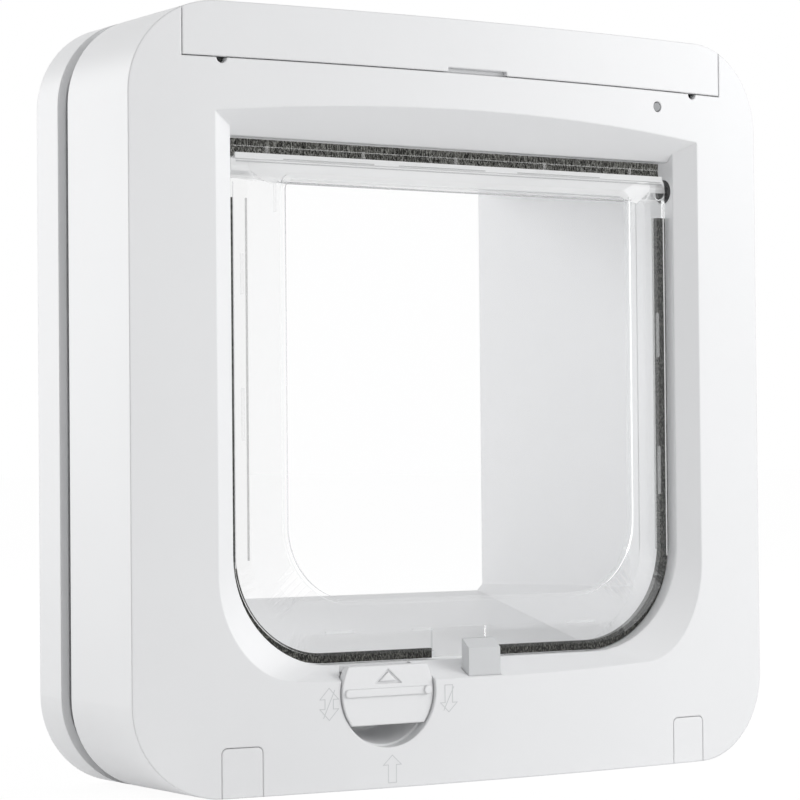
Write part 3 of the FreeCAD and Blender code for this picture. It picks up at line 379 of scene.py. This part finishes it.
SHAFT, BARB = 0.45, 0.3
UP = [(0, 1), (1, BARB), (SHAFT, BARB), (SHAFT, -1), (-SHAFT, -1), (-SHAFT, BARB), (-1, BARB)]
DOWN = [(u, -v) for u, v in UP]
BOTH = [(0, 1), (1, BARB), (SHAFT, BARB), (SHAFT, -BARB), (1, -BARB), (0, -1), (-1, -BARB), (-SHAFT, -BARB),
        (-SHAFT, BARB), (-1, BARB)]
SLASH = [(-0.6, -0.85), (0.6, 0.85)]
sign("sign_both_ways", (-49.0, 23.4), 2.8, 4.3, [(True, BOTH), (False, SLASH)])
sign("sign_in_only", (-11.6, 23.2), 2.7, 3.7, [(True, DOWN), (False, SLASH)])
sign("sign_open", (-29.8, 5.1), 2.8, 3.7, [(True, UP)])


# Stage

def any_of(nodes, links, outputs):
    # The highest of several on and off values.
    total = outputs[0]
    for output in outputs[1:]:
        higher = nodes.new("ShaderNodeMath")
        higher.operation = "MAXIMUM"
        links.new(total, higher.inputs[0])
        links.new(output, higher.inputs[1])
        total = higher.outputs[0]
    return total


def seen_rays(nodes, links):
    rays = nodes.new("ShaderNodeLightPath")
    return any_of(nodes, links, [rays.outputs["Is Camera Ray"], rays.outputs["Is Glossy Ray"],
                                 rays.outputs["Is Transmission Ray"]])


FLOOR_HALF = 30.0
# The glow meets the white of the world at the horizon, and the share that it leaves keeps the object's shadow.
FLOOR_GLOW, GLOW_SHARE = 1.02, 0.93


def backdrop():
    mesh = bpy.data.meshes.new("floor")
    size = FLOOR_HALF
    mesh.from_pydata([(-size, -size, 0), (size, -size, 0), (size, size, 0), (-size, size, 0)], [], [(0, 1, 2, 3)])
    floor = bpy.data.objects.new("floor", mesh)
    bpy.context.scene.collection.objects.link(floor)
    material, nodes, links, shader = node_tree("floor")
    shader.inputs["Base Color"].default_value = (0.95, 0.95, 0.95, 1)
    shader.inputs["Roughness"].default_value = 0.8
    glow = nodes.new("ShaderNodeEmission")
    glow.inputs["Color"].default_value = (1, 1, 1, 1)
    glow.inputs["Strength"].default_value = FLOOR_GLOW
    share = nodes.new("ShaderNodeMath")
    share.operation = "MULTIPLY"
    share.inputs[1].default_value = GLOW_SHARE
    links.new(seen_rays(nodes, links), share.inputs[0])
    blend = nodes.new("ShaderNodeMixShader")
    links.new(share.outputs[0], blend.inputs["Fac"])
    links.new(shader.outputs[0], blend.inputs[1])
    links.new(glow.outputs[0], blend.inputs[2])
    links.new(blend.outputs[0], nodes["Material Output"].inputs["Surface"])
    mesh.materials.append(material)


def studio():
    world = bpy.data.worlds.new("studio")
    bpy.context.scene.world = world
    world.use_nodes = True
    nodes, links = world.node_tree.nodes, world.node_tree.links
    soft = nodes["Background"]
    soft.inputs["Color"].default_value = (1, 1, 1, 1)
    soft.inputs["Strength"].default_value = 0.65
    white = nodes.new("ShaderNodeBackground")
    white.inputs["Color"].default_value = (1, 1, 1, 1)
    white.inputs["Strength"].default_value = 1.0
    blend = nodes.new("ShaderNodeMixShader")
    links.new(seen_rays(nodes, links), blend.inputs["Fac"])
    links.new(soft.outputs[0], blend.inputs[1])
    links.new(white.outputs[0], blend.inputs[2])
    links.new(blend.outputs[0], nodes["World Output"].inputs["Surface"])
    # A large lamp to the right and above, a weaker one behind on the left that reaches into the tunnel.
    for name, place, power, width in (("lamp_right", (1.5, -0.95, 0.8), 16.5, 1.0),
                                      ("lamp_back", (-0.85, 1.25, 0.35), 8, 1.0)):
        lamp = bpy.data.lights.new(name, "AREA")
        lamp.energy = power
        lamp.size = width
        holder = bpy.data.objects.new(name, lamp)
        bpy.context.scene.collection.objects.link(holder)
        holder.location = place
        holder.rotation_euler = (Vector((0, 0, 0.1)) - Vector(place)).to_track_quat("-Z", "Y").to_euler()


def camera():
    # The photograph's viewpoint: from the left, level, at long range.
    yaw, pitch, roll = 0.5741, 0.0230, -0.0091
    forward = Vector((math.sin(yaw) * math.cos(pitch), math.cos(yaw) * math.cos(pitch), math.sin(pitch)))
    right = Vector((math.cos(yaw), -math.sin(yaw), 0))
    up = right.cross(forward)
    across = math.cos(roll) * right + math.sin(roll) * up
    above = -math.sin(roll) * right + math.cos(roll) * up
    holder = bpy.data.objects.new("camera", bpy.data.cameras.new("camera"))
    holder.data.sensor_width = 36
    holder.data.lens = 130
    holder.matrix_world = Matrix.Translation((-0.45233, -0.70075, 0.08674)) @ Matrix(
        (across, above, -forward)).transposed().to_4x4()
    bpy.context.scene.collection.objects.link(holder)
    bpy.context.scene.camera = holder


backdrop()
studio()
camera()
bpy.context.scene.view_settings.view_transform = "Standard"
